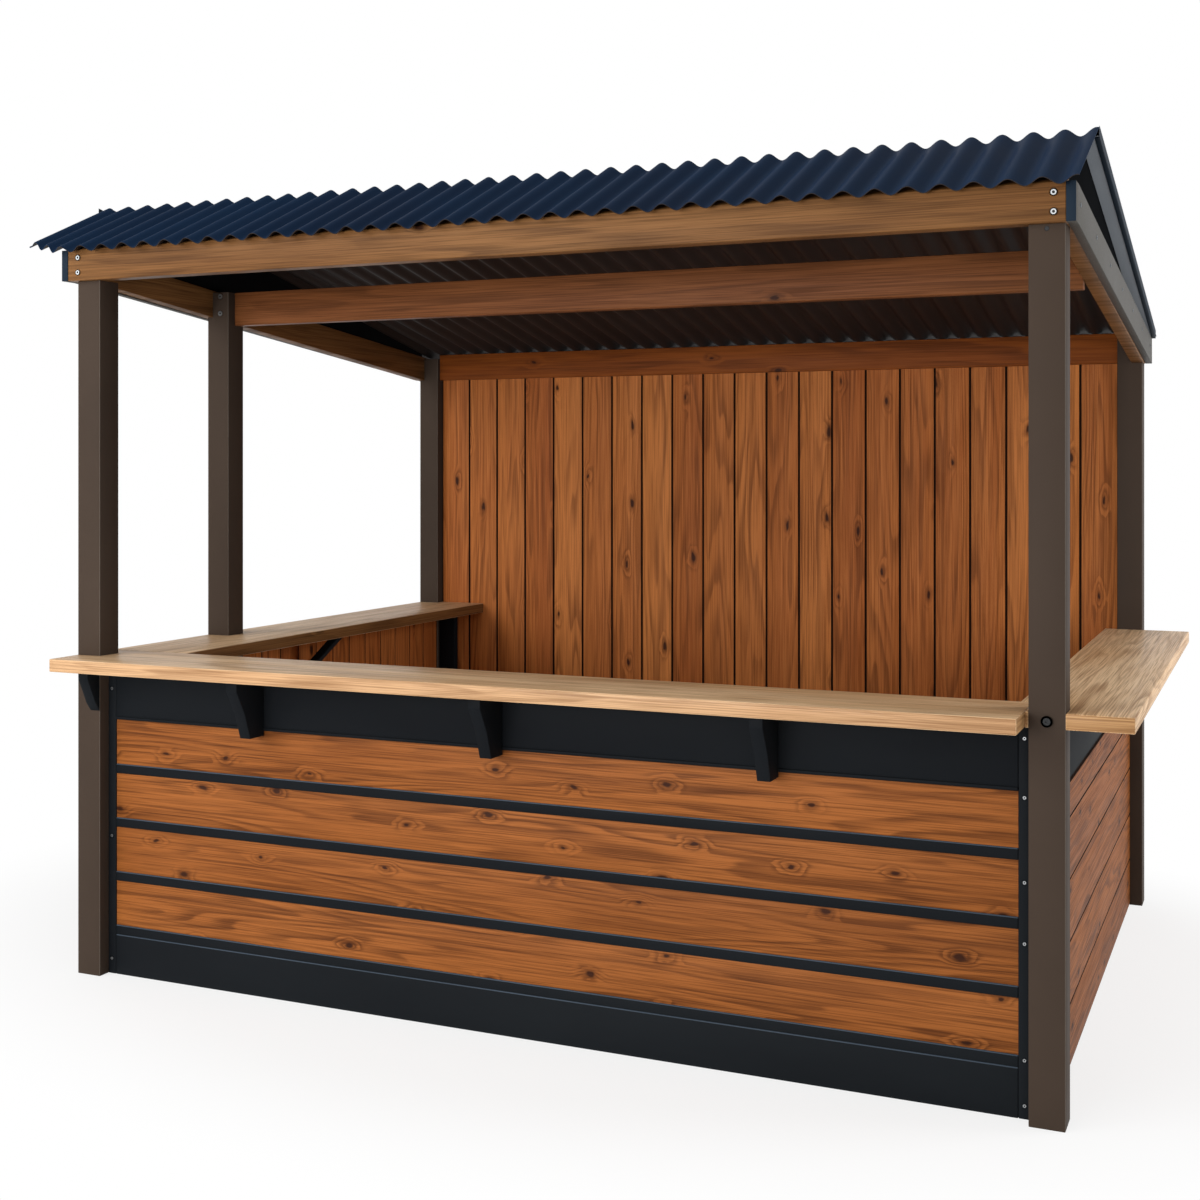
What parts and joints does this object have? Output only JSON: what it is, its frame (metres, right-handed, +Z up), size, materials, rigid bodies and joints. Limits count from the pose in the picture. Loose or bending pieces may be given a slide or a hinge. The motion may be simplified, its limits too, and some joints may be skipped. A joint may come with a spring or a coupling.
{
  "type": "wooden kiosk",
  "caption": "Open-sided wooden serving kiosk with plank counters on three sides, low clad walls, a boarded back and a corrugated roof on square posts.",
  "frame": {"origin": "on the ground, at the centre of the kiosk's overall outline", "axes": "+Z up, +X to the right seen from the front (along the front counter), +Y from the front counter to the back wall"},
  "size_m": [3.5322, 2.5025, 2.5705],
  "materials": {
    "post_metal": "satin dark bronze paint",
    "beam_wood": "oiled",
    "plate_wood": "stained",
    "black_paint": "satin black paint",
    "roof_metal": "satin dark blue",
    "fascia_metal": "matt grey",
    "verge_metal": "satin pale grey",
    "counter_wood_x": "oiled oak",
    "counter_wood_y": "oiled oak",
    "stained_boards": "stained softwood",
    "stained_boards_upright": "stained softwood"
  },
  "bodies": {
    "root": {"post_front_left": "post_metal", "post_front_right": "post_metal", "post_middle_left": "post_metal", "post_rear_left": "post_metal", "post_rear_right": "post_metal", "front_beam": "beam_wood", "middle_beam": "beam_wood", "rear_top_plate": "plate_wood", "rafter_left": "beam_wood", "rafter_right": "beam_wood", "ridge_purlin": "beam_wood", "gable_infill_left": "black_paint", "gable_infill_right": "black_paint", "roof_sheet_front": "roof_metal", "roof_sheet_rear": "roof_metal", "fascia_left": "fascia_metal", "fascia_right": "fascia_metal", "verge_left": "verge_metal", "verge_right": "verge_metal", "counter_front": "counter_wood_x", "counter_left": "counter_wood_y", "counter_right": "counter_wood_y", "bracket_left": "black_paint", "bracket_middle": "black_paint", "bracket_right": "black_paint", "bracket_post": "black_paint", "bracket_inner": "black_paint", "front_stile_left": "black_paint", "front_stile_right": "black_paint", "front_top_rail": "black_paint", "front_skirt": "black_paint", "front_boards": "stained_boards", "front_bar_1": "black_paint", "front_bar_2": "black_paint", "front_bar_3": "black_paint", "front_bar_4": "black_paint", "left_wall_front": "stained_boards", "left_wall_rear": "stained_boards", "left_rail_front": "black_paint", "left_rail_rear": "black_paint", "right_wall": "stained_boards", "right_rail": "black_paint", "back_wall": "stained_boards_upright", "rear_stile": "black_paint"}
  },
  "joints": []
}
